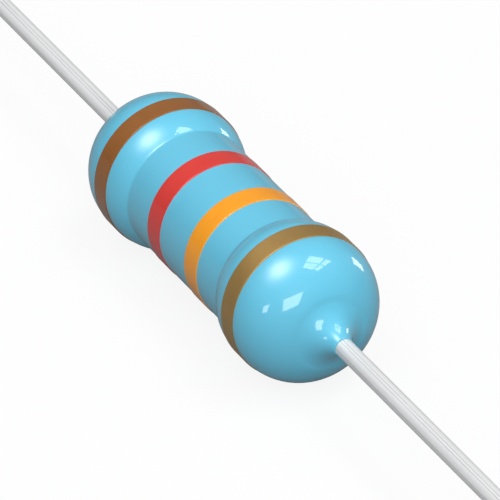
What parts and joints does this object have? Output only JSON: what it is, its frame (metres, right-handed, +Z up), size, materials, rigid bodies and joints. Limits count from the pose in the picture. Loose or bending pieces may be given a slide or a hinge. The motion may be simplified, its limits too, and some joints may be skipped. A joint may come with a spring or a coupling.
{
  "type": "power resistor",
  "caption": "Axial-lead film power resistor: a lacquered ceramic body with bulged ends, painted colour-code bands and straight tinned wire leads.",
  "frame": {"origin": "centre of the body, on the axis at mid-length", "axes": "+X along the leads, from the first digit's band towards the tolerance band; +Z up as the part lies on its bulbs"},
  "size_m": [0.0538, 0.0046, 0.0046],
  "materials": {
    "lacquer": "glossy light blue lacquer, dipped and baked, with a faint orange peel",
    "brown_ink": "glossy brown band paint",
    "red_ink": "glossy red band paint",
    "orange_ink": "glossy orange band paint",
    "gold_ink": "gold bronze band paint with fine metal flake",
    "tinned_wire": "bright tinned copper wire, drawn, with fine lengthwise lines",
    "cap_steel": "drawn steel, thinly plated",
    "film": "dark grey sputtered metal film, satin",
    "ceramic": "unglazed white ceramic, matte"
  },
  "bodies": {
    "root": {"lacquer_coat": "lacquer", "first_digit_band": "brown_ink", "second_digit_band": "red_ink", "multiplier_band": "orange_ink", "tolerance_band": "gold_ink", "lead_wire_left": "tinned_wire", "lead_wire_right": "tinned_wire", "end_cap_left": "cap_steel", "end_cap_right": "cap_steel", "resistive_film": "film", "ceramic_core": "ceramic"}
  },
  "joints": []
}
